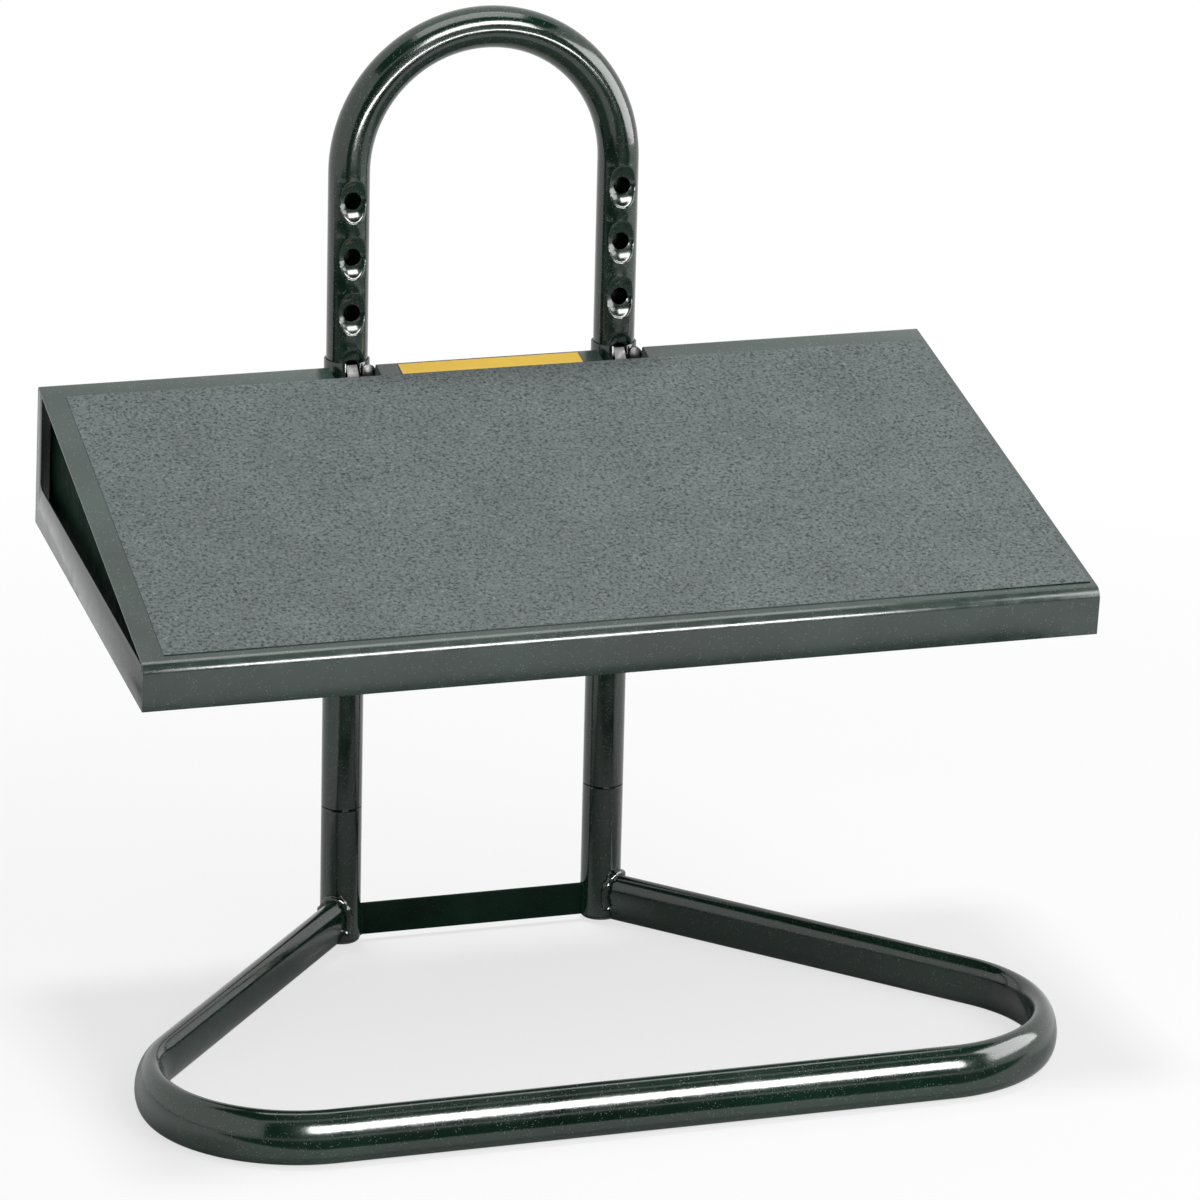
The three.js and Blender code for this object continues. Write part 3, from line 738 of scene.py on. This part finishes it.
def bead_along(points, radius):
    """A lumpy weld bead that follows points, with a ripple at each puddle."""
    sides = 12
    end_share = 0.45
    last = len(points) - 1
    bm = bmesh.new()
    for index, point in enumerate(points):
        forward = (points[min(index + 1, last)] - points[max(index - 1, 0)]).normalized()
        if index == 0:
            side = forward.orthogonal().normalized()
        side = (side - forward * side.dot(forward)).normalized()
        ripple = 0.16 * math.sin(index * 2.4) + 0.08 * math.sin(index * 1.1)
        size = radius * (end_share if index in (0, last) else 1 + ripple)
        matrix = placed(side, forward.cross(side), forward, point) @ Matrix.Diagonal((size, size, 1, 1))
        if index == 0:
            edges = ring(bm, sides, 2, 2, matrix)
        else:
            edges = pull(bm, edges, matrix @ before.inverted())
        before = matrix
    close_ends(bm)
    return bm


def bead_piece(points, radius, name, body, node="", look="tube_paint"):
    make_piece(bead_along(points, radius), name, body, "tube_paint", node, [look], smooth_below=60)


def end_beads(kind, body, look, reach, low, high, radius, steps):
    """Weld beads up both ends of a bar, in front and behind."""
    heights = [low.z + (high.z - low.z) * i / steps for i in range(steps + 1)]
    for name, side in SIDES:
        for place, depth in (("front", low.y), ("back", high.y)):
            points = [Vector((side * reach, depth, height)) for height in heights]
            bead_piece(points, radius, f"{name}_{place}_{kind}_bead", body, look=look)


def build_welds(settings):
    loop = settings.loop
    lean = loop.lean
    steps = 30
    wrap = 0.35
    rise_share = 0.25
    grown = loop.bead_radius * rise_share
    reach = settings.stand.tube_diameter / 2 + grown
    for name, side in SIDES:
        post, _, outward, inward = leg_line(settings, side)
        points = []
        for i in range(steps + 1):
            swing = -wrap + (math.pi + 2 * wrap) * i / steps
            slant = Vector((loop.tube_height * math.cos(swing), loop.tube_width * math.sin(swing)))
            slant.normalize()
            across = loop.tube_width / 2 * math.cos(swing) + grown * slant.x
            up = loop.tube_height / 2 * math.sin(swing) + grown * slant.y
            into = up * math.sin(lean) + across * math.cos(lean)
            rise = up * math.cos(lean) - across * math.sin(lean)
            ahead = math.sqrt(max(reach**2 - into**2, 0))
            points.append(post + inward * into + Z * rise + outward * ahead)
        bead_piece(points, loop.bead_radius, f"{name}_leg_bead", "frame", f"{name}_leg_weld")


def build_crossbar(settings):
    stand = settings.stand
    between_posts = stand.post_spacing / 2 - stand.tube_diameter / 2
    bar_lap = 0.0012
    bead_lap = 0.0004
    low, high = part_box("base_crossbar")
    bm = flat_bar(between_posts + bar_lap, low, high, rounding=0.0007)
    # The crossbar and its end beads take the painted shade paint, for the shade under the platform.
    make_piece(bm, "crossbar", "frame", "tube_paint", "base_crossbar", ["shaded_paint"])
    reach = between_posts + bead_lap
    end_beads("bar", "frame", "shaded_paint", reach, low, high, radius=0.0016, steps=14)


# Shapes of the carriage


def locked_height(settings):
    stand = settings.stand
    return stand.top_hole - settings.carriage.locked_hole * stand.hole_pitch


def pivot_height(settings):
    return locked_height(settings) - settings.carriage.pivot_drop


def collar_radius(settings):
    return settings.stand.tube_diameter / 2 + settings.carriage.gap + settings.carriage.wall


def build_collars(settings):
    carriage = settings.carriage
    rounding = 0.00025
    segments = 64
    top = locked_height(settings) + carriage.rise
    width = 2 * collar_radius(settings)
    half = carriage.window_width / 2
    sill = top - carriage.window_depth
    for name, side in SIDES:
        centre = Vector((side * settings.stand.post_spacing / 2, POST_PLANE, top - carriage.height))
        bm = bmesh.new()
        edges = ring(bm, segments, width, width, Matrix.Translation(centre))
        pull_by(bm, edges, Z * carriage.height)
        cut(bm, centre - X * half, X)
        cut(bm, centre + X * half, X)
        cut(bm, Z * sill, Z)
        remove_faces(bm, lambda at: abs(at.x - centre.x) < half and at.y < POST_PLANE and at.z > sill)
        thicken(bm, carriage.wall)
        soften(bm, rounding, degrees=50)
        make_piece(bm, f"{name}_collar", "carriage", "tube_paint", f"{name}_post_collar")


def build_tie_bar(settings):
    low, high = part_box("carriage_tie_bar")
    between_collars = settings.stand.post_spacing / 2 - collar_radius(settings)
    bar_lap = 0.0006
    bm = flat_bar(between_collars + bar_lap, low, high, rounding=0.0004)
    make_piece(bm, "tie_bar", "carriage", "tube_paint", "carriage_tie_bar")
    end_beads("tie", "carriage", "tube_paint", between_collars, low, high, radius=0.0011, steps=12)


def build_catches(settings):
    """Each catch is one sheet: a foot, a release lever and a tongue that bends back into the hole."""
    carriage = settings.carriage
    rounding = 0.0002
    tongue_share = 0.8
    locked = locked_height(settings)
    thickness = carriage.catch_thickness
    front = POST_PLANE - collar_radius(settings) - FIT - thickness
    bottom = locked - carriage.catch_drop
    foot_top = bottom + carriage.catch_foot
    radius = carriage.lever_width / 2
    # The tongue's side view: distances behind the catch's front, and heights
    tongue = [
        (0.0001, foot_top - 0.002),
        (0.0002, locked - 0.0055),
        (0.0008, locked - 0.0036),
        (0.0052, locked + 0.0026),
        (0.0066, locked + 0.003),
    ]
    for name, side in SIDES:
        left = side * settings.stand.post_spacing / 2 - carriage.tongue_width / 2
        lever = left + carriage.tongue_width + carriage.lever_gap
        outline = [(left, bottom), (lever + 2 * radius, bottom)]
        outline += arc(lever + radius, locked + carriage.lever_rise - radius, radius, 0, math.pi, steps=12)
        outline += [(lever, foot_top), (left, foot_top)]
        bm = plate([Vector((x, front, z)) for x, z in outline], Y * thickness, rounding)
        edges = line_through(bm, [Vector((left, front + behind, z)) for behind, z in tongue])
        made = bmesh.ops.extrude_edge_only(bm, edges=edges)["geom"]
        bmesh.ops.translate(bm, verts=only(made, BMVert), vec=X * carriage.tongue_width)
        strip = only(made, BMFace)
        bmesh.ops.recalc_face_normals(bm, faces=strip)
        if strip[0].normal.y > 0:
            bmesh.ops.reverse_faces(bm, faces=strip)
        bmesh.ops.solidify(bm, geom=strip, thickness=thickness * tongue_share)
        node = f"{name}_spring_catch"
        make_piece(bm, f"{name}_catch", "carriage", "plated_steel", node, ["spring_steel"])


def build_pins(settings):
    carriage = settings.carriage
    pivot = pivot_height(settings)
    head = carriage.pin_head / 2
    shaft = carriage.pin_diameter / 2
    chamfer = 0.0002
    cheek = 0.0006
    shoulder = 0.0012
    crown = 0.0001
    for post, post_side in SIDES:
        for place, side in (("outer", post_side), ("inner", -post_side)):
            node = f"{post}_{place}_pin"
            low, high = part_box(node)
            span = high.x - low.x
            near = low.x if side > 0 else high.x
            rim = span - carriage.pin_head_height
            profile = [(0, 0), (shaft, 0), (shaft, rim), (head - chamfer, rim), (head, rim + chamfer)]
            profile += [(head, rim + cheek), (head * 0.82, rim + shoulder)]
            profile += [(head * 0.5, span - crown), (0, span)]
            bm = turned(profile, Vector((near, POST_PLANE, pivot)), X * side, segments=40)
            make_piece(bm, f"{node}_turned", "carriage", "plated_steel", node)


# Shapes of the platform, in its own frame before the tilt


def platform_piece(settings, bm, name, slot, node, looks=()):
    """Tilts and moves a shape into its place and makes a piece of it."""
    platform = settings.platform
    foot = Vector((0, POST_PLANE + platform.setback, pivot_height(settings) - platform.drop))
    matrix = Matrix.Translation(foot) @ Matrix.Rotation(platform.tilt, 4, "X")
    bmesh.ops.transform(bm, verts=bm.verts[:], matrix=matrix)
    make_piece(bm, name, "platform", slot, node, looks)


def half_width(platform, y):
    share = -y / platform.depth
    return (platform.rear_width + (platform.front_width - platform.rear_width) * share) / 2


def deck_slope(platform):
    return math.atan2(platform.rear_height - platform.flange_height, platform.depth)


def deck_normal(platform):
    slope = deck_slope(platform)
    return Vector((0, -math.sin(slope), math.cos(slope)))


def top_at(platform, y):
    return platform.rear_height + y * math.tan(deck_slope(platform))


def deck_profile(bm, platform):
    """The folded sheet's outer side view at x = 0, as edges from the back's foot to the front lip."""
    rear_steps = 6
    front_steps = 12
    slope = deck_slope(platform)
    rear = platform.rear_bend
    front = platform.front_bend
    folds = (
        (-rear, rear, Y, math.pi / 2 + slope, rear_steps),
        (-platform.depth + front, front, deck_normal(platform), math.pi / 2 - slope, front_steps),
    )
    last = [bm.verts.new((0, 0, 0))]
    for y, radius, start, swing, steps in folds:
        centre = Vector((0, y, top_at(platform, y) - radius / math.cos(slope)))
        made = bmesh.ops.extrude_vert_indiv(bm, verts=last)["verts"]
        bmesh.ops.translate(bm, verts=made, vec=centre + start * radius - last[0].co)
        last = only(turn(bm, made, centre, X, swing, steps), BMVert)
    made = bmesh.ops.extrude_vert_indiv(bm, verts=last)["verts"]
    bmesh.ops.translate(bm, verts=made, vec=Z * -last[0].co.z)
    merge(bm)
    return bm.edges[:]


def build_deck(settings):
    platform = settings.platform
    rounding = 0.0003
    post_x = settings.stand.post_spacing / 2
    half = platform.notch_width / 2
    notch = -platform.notch_depth
    reach = -1
    bm = bmesh.new()
    edges = deck_profile(bm, platform)
    bmesh.ops.translate(bm, verts=bm.verts[:], vec=X * reach)
    for x in (-post_x - half, -post_x + half, 0):
        edges = pull_by(bm, edges, X * (x - reach))
        reach = x
    for vert in bm.verts:
        if vert.co.x < -platform.front_width:
            vert.co.x = -half_width(platform, vert.co.y)
    cut(bm, Y * notch, Y)
    remove_faces(bm, lambda at: abs(at.x + post_x) < half and at.y > notch)
    mirror(bm)
    face_out(bm)
    top = max(bm.faces, key=lambda face: face.calc_area())
    if top.normal.z < 0:
        bmesh.ops.reverse_faces(bm, faces=bm.faces[:])
    bmesh.ops.solidify(bm, geom=bm.faces[:], thickness=platform.sheet)
    soften(bm, rounding, degrees=50)
    platform_piece(settings, bm, "deck", "deck_paint", "platform_deck")


def build_side_flanges(settings):
    platform = settings.platform
    rounding = 0.0003
    fold_run = 0.004
    fold_drop = 0.005
    gap = platform.sheet + FIT
    under = gap / math.cos(deck_slope(platform))
    strip_top = platform.flange_height - platform.sheet
    upright = -platform.upright
    corner = platform.corner
    front = -platform.depth + gap
    outline = [(-gap, 0)]
    outline += [(y, top_at(platform, y) - under) for y in (-gap, upright)]
    outline += arc(upright - corner, strip_top + corner, corner, 0, -math.pi / 2, steps=8)
    outline += [(front + fold_run, strip_top), (front, strip_top - fold_drop), (front, 0)]
    for name, side in SIDES:
        bm = plate([Vector((0, y, z)) for y, z in outline], X * -side * platform.sheet, rounding)
        for vert in bm.verts:
            vert.co.x += side * half_width(platform, vert.co.y)
        platform_piece(settings, bm, f"{name}_flange", "deck_paint", f"{name}_side_flange")


def lay_on_deck(settings, name, slot, node, corners, thickness, border=0):
    """Makes a plate on the sloped deck, with its sides and any border in the tube paint; the dark sides are
    painted shadow for the thin shadow line along the plate's edges.
    """
    platform = settings.platform
    lift = 0.00005
    up = deck_normal(platform)
    outline = [Vector((x, y, top_at(platform, y))) + up * lift for x, y in corners]
    bm = plate(outline, up * thickness)
    top = max(bm.faces, key=lambda face: face.normal.z)
    if border:
        bmesh.ops.inset_region(bm, faces=[top], thickness=border)
    # Painted shadow: the dark sides stand in for the thin shadow line along the edges.
    for face in bm.faces:
        face.material_index = 1
    top.material_index = 0
    platform_piece(settings, bm, name, slot, node, [slot, "tube_paint"])


def build_grit(settings):
    platform = settings.platform
    rear = -platform.grit_rear
    front = -platform.depth + platform.grit_front
    corners = [(-half_width(platform, y) + platform.grit_left, y) for y in (rear, front)]
    corners += [(half_width(platform, y) - platform.grit_right, y) for y in (front, rear)]
    lay_on_deck(settings, "grit_top", "grit", "grit_sheet", corners, platform.grit_thickness)


def build_strip(settings):
    platform = settings.platform
    half = platform.strip_length / 2
    rear = -platform.strip_margin
    front = rear - platform.strip_width
    corners = [(-half, rear), (-half, front), (half, front), (half, rear)]
    sizes = (platform.strip_thickness, platform.strip_border)
    lay_on_deck(settings, "yellow_strip", "yellow_strip", "marking_strip", corners, *sizes)


# Stage


def of_kinds(tree, *kinds):
    """One for a ray of one of the kinds, and nothing for others."""
    path = add_node(tree, "ShaderNodeLightPath", {})
    total = 0
    for kind in kinds:
        total = combine(tree, "ADD", total, path.outputs[f"Is {kind} Ray"])
    return combine(tree, "MINIMUM", total, 1)


def seen_directly(tree):
    """One for what the camera sees, straight or by gloss or glass, and nothing for soft light."""
    return of_kinds(tree, "Camera", "Glossy", "Transmission")


def build_floor(settings):
    stage = settings.stage
    bm = bmesh.new()
    bmesh.ops.create_grid(bm, x_segments=2, y_segments=2, size=30)
    floor = mesh_object(bm, "floor")
    tree = new_tree("pale_floor")
    base = clouded(tree, stage.floor, 3, (0.3, 0.7), (0.99, 1))
    shader = surface(tree, base, roughness=0.9, specular=0.1)
    away = add_node(tree, "ShaderNodeVectorMath", {0: place_in(tree)}, operation="LENGTH")
    far = ramp(tree, away.outputs["Value"], (stage.shadow_reach, stage.shadow_end))
    straight = of_kinds(tree, "Camera", "Transmission")
    near = combine(tree, "MULTIPLY", straight, 1 - stage.shadow_share)
    rest = combine(tree, "SUBTRACT", seen_directly(tree), near)
    share = combine(tree, "ADD", near, combine(tree, "MULTIPLY", far, rest))
    white = add_node(tree, "ShaderNodeEmission", {"Color": WHITE})
    inputs = {"Fac": share, 1: shader.outputs["BSDF"], 2: white.outputs["Emission"]}
    both = add_node(tree, "ShaderNodeMixShader", inputs)
    feed(tree, tree.nodes["Material Output"], {"Surface": both.outputs["Shader"]})
    floor.data.materials.append(bpy.data.materials["pale_floor"])


def build_world(settings):
    world = bpy.data.worlds.new("studio")
    bpy.context.scene.world = world
    world.use_nodes = True
    tree = world.node_tree
    strength = ramp(tree, seen_directly(tree), (0, 1), (settings.stage.sky_level, 1))
    feed(tree, tree.nodes["Background"], {"Color": WHITE, "Strength": strength})


def toward(azimuth, elevation):
    """A direction from its azimuth, zero to the front and positive to the right, and its rise."""
    across = math.radians(azimuth)
    up = math.radians(elevation)
    return Vector((math.sin(across) * math.cos(up), -math.cos(across) * math.cos(up), math.sin(up)))


def add_panel(name, place, direction, width, height, energy, soft):
    """A flat lamp that shines back along a direction, for soft light alone or for highlights alone."""
    light = bpy.data.lights.new(name, "AREA")
    light.shape = "RECTANGLE"
    light.size = width
    light.size_y = height
    light.energy = energy
    lamp = add_object(name, light)
    lamp.location = place
    lamp.rotation_euler = (-direction).to_track_quat("-Z", "Y").to_euler()
    lamp.visible_diffuse = soft
    lamp.visible_glossy = not soft
    lamp.visible_camera = False


def add_soft(name, level, direction, distance, width):
    """A square panel that gives a level of soft light where it aims."""
    aim = Vector((0, 0, 0.25))
    energy = level * (math.pi * distance) ** 2
    add_panel(name, aim + direction * distance, direction, width, width, energy, True)


def add_gloss(name, place, direction, width, height, radiance):
    """A panel of known radiance that only highlights show."""
    energy = radiance * width * height * math.pi
    add_panel(name, Vector(place), direction, width, height, energy, False)


def add_flag(name, centre, width, height, upright=False):
    """A black studio flag, which only reflections show."""
    turned_up = Matrix.Rotation(math.pi / 2 if upright else 0, 4, "X")
    matrix = Matrix.Translation(centre) @ turned_up @ Matrix.Diagonal((width, height, 1, 1))
    bm = bmesh.new()
    bmesh.ops.create_grid(bm, x_segments=1, y_segments=1, size=0.5, matrix=matrix)
    flag = mesh_object(bm, name)
    flag.data.materials.append(bpy.data.materials["flag_black"])
    flag.visible_camera = False
    flag.visible_diffuse = False
    flag.visible_shadow = False


def build_lights(settings):
    """Soft light from above and the front, and a room of panels and flags for the reflections."""
    stage = settings.stage
    gloss = stage.gloss_radiance
    window = stage.window_radiance
    add_soft("top_panel", stage.top_level, toward(-162, 81), distance=3, width=0.5)
    add_soft("key_panel", stage.key_level, toward(40, 46), distance=2.2, width=1.6)
    add_gloss("gloss_panel", (0.28, -1.6, 0.55), toward(0, 0), 1.25, 0.48, 1.4 * gloss)
    add_gloss("arch_panel", (0.16, -0.45, 0.97), toward(8, 38), 0.56, 0.22, gloss)
    add_gloss("window_panel", (1.46, -0.46, 0.75), toward(65, 8), 1.3, 1, window)
    add_gloss("ceiling_panel", (0.2, -0.05, 2.25), Z, 1.8, 1, 0.6 * window)
    surface(new_tree("flag_black"), (0.01, 0.01, 0.01, 1), roughness=1, specular=0)
    add_flag("ceiling_flag", (0, -0.7, 2.3), 4, 2.2)
    add_flag("front_flag", (0.2, -2.4, 1.15), 4.4, 2.3, upright=True)
    add_flag("arch_flag", (0.3, -0.9, 0.65), 1.6, 0.3, upright=True)
    add_flag("deck_flag", (0.1, -0.315, 0.6), 0.9, 0.27)
    add_flag("far_flag", (0.2, -2.5, 0.005), 3.4, 2.8)
    add_flag("near_flag", (0.05, -0.285, 0.003), 0.9, 0.17)
    add_flag("left_flag", (-1.25, -0.5, 0.01), 1.3, 2)


def build_camera(settings):
    stage = settings.stage
    sensor = 36
    aim = Matrix.Translation((0, POST_PLANE - 0.1, 0.3))
    yaw = Matrix.Rotation(stage.yaw, 4, "Z")
    pitch = Matrix.Rotation(math.pi / 2 - stage.pitch, 4, "X")
    roll = Matrix.Rotation(stage.roll, 4, "Z")
    away = Matrix.Translation((-stage.aim_right, -stage.aim_up, stage.distance))
    data = bpy.data.cameras.new("camera")
    data.sensor_width = sensor
    data.lens = sensor * stage.focal / stage.image
    data.clip_end = 100
    camera = add_object("camera", data)
    camera.matrix_world = aim @ yaw @ pitch @ roll @ away
    bpy.context.scene.camera = camera


# Operators


def run(context, *builders):
    """Runs builders with the scene's settings, for an operator."""
    for build in builders:
        build(context.scene.footrest)
    return {"FINISHED"}


class FOOTREST_OT_finishes(Operator):
    """Makes the materials and gives them to the CAD nodes that stay in view"""

    bl_idname = "footrest.finishes"
    bl_label = "Finishes"

    def execute(self, context):
        finish = context.scene.footrest.finish
        for make in (tube_paint, shaded_paint, deck_paint, grit_material, yellow_material, plastic_material):
            make(finish)
        steel_material("plated_steel", finish.steel)
        steel_material("spring_steel", finish.spring)
        # The ribs, ears and straps inside the platform take the painted shade paint, for the shade in there.
        for name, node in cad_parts.items():
            if name.endswith(("_ear", "_strap", "_rib")):
                node.data.materials.clear()
                node.data.materials.append(bpy.data.materials["shaded_paint"])
        return {"FINISHED"}


class FOOTREST_OT_arch(Operator):
    """Builds the arch with its pressed and pierced height holes"""

    bl_idname = "footrest.arch"
    bl_label = "Arch"

    def execute(self, context):
        return run(context, build_arch)


class FOOTREST_OT_sockets(Operator):
    """Builds the sockets that the arch plugs into, with their plugs"""

    bl_idname = "footrest.sockets"
    bl_label = "Sockets and plugs"

    def execute(self, context):
        return run(context, build_sockets, build_plugs)


class FOOTREST_OT_floor_loop(Operator):
    """Builds the bent oval tube on the floor"""

    bl_idname = "footrest.floor_loop"
    bl_label = "Floor loop"

    def execute(self, context):
        return run(context, build_loop)


class FOOTREST_OT_welds(Operator):
    """Builds the crossbar and the weld beads"""

    bl_idname = "footrest.welds"
    bl_label = "Crossbar and welds"

    def execute(self, context):
        return run(context, build_welds, build_crossbar)


class FOOTREST_OT_carriage(Operator):
    """Builds the collars, tie bar, catches and pins"""

    bl_idname = "footrest.carriage"
    bl_label = "Carriage"

    def execute(self, context):
        return run(context, build_collars, build_tie_bar, build_catches, build_pins)


class FOOTREST_OT_platform(Operator):
    """Builds the folded deck and its side flanges"""

    bl_idname = "footrest.platform"
    bl_label = "Platform"

    def execute(self, context):
        return run(context, build_deck, build_side_flanges)


class FOOTREST_OT_deck_top(Operator):
    """Lays the grit sheet and the yellow strip on the deck"""

    bl_idname = "footrest.deck_top"
    bl_label = "Grit sheet and strip"

    def execute(self, context):
        return run(context, build_grit, build_strip)


class FOOTREST_OT_stage(Operator):
    """Sets up the floor, light and camera"""

    bl_idname = "footrest.stage"
    bl_label = "Stage"

    def execute(self, context):
        context.scene.view_settings.view_transform = "Standard"
        return run(context, build_floor, build_world, build_lights, build_camera)


STEPS = (
    FOOTREST_OT_stage,
    FOOTREST_OT_finishes,
    FOOTREST_OT_arch,
    FOOTREST_OT_sockets,
    FOOTREST_OT_floor_loop,
    FOOTREST_OT_welds,
    FOOTREST_OT_carriage,
    FOOTREST_OT_platform,
    FOOTREST_OT_deck_top,
)


class FOOTREST_PT_steps(Panel):
    """Lists the steps that build the footrest"""

    bl_label = "Footrest"
    bl_idname = "FOOTREST_PT_steps"
    bl_space_type = "VIEW_3D"
    bl_region_type = "UI"
    bl_category = "Footrest"

    def draw(self, context):
        column = self.layout.column()
        for step in STEPS:
            column.operator(step.bl_idname)
        for group in ("finish", "stage"):
            box = self.layout.box()
            box.label(text=group.capitalize())
            values = getattr(context.scene.footrest, group)
            for name in values.bl_rna.properties.keys():
                if name not in ("rna_type", "name"):
                    box.prop(values, name)


SIZES = (StandSizes, LoopSizes, CarriageSizes, PlatformSizes)
CLASSES = (*SIZES, FinishColours, StageSettings, FootrestSettings, *STEPS, FOOTREST_PT_steps)


def register():
    for item in CLASSES:
        bpy.utils.register_class(item)
    bpy.types.Scene.footrest = PointerProperty(type=FootrestSettings)


def unregister():
    del bpy.types.Scene.footrest
    for item in reversed(CLASSES):
        bpy.utils.unregister_class(item)


def main():
    register()
    bpy.ops.footrest.stage()
    bpy.ops.footrest.finishes()
    bpy.ops.footrest.arch()
    bpy.ops.footrest.sockets()
    bpy.ops.footrest.floor_loop()
    bpy.ops.footrest.welds()
    bpy.ops.footrest.carriage()
    bpy.ops.footrest.platform()
    bpy.ops.footrest.deck_top()


if __name__ == "__main__":
    main()
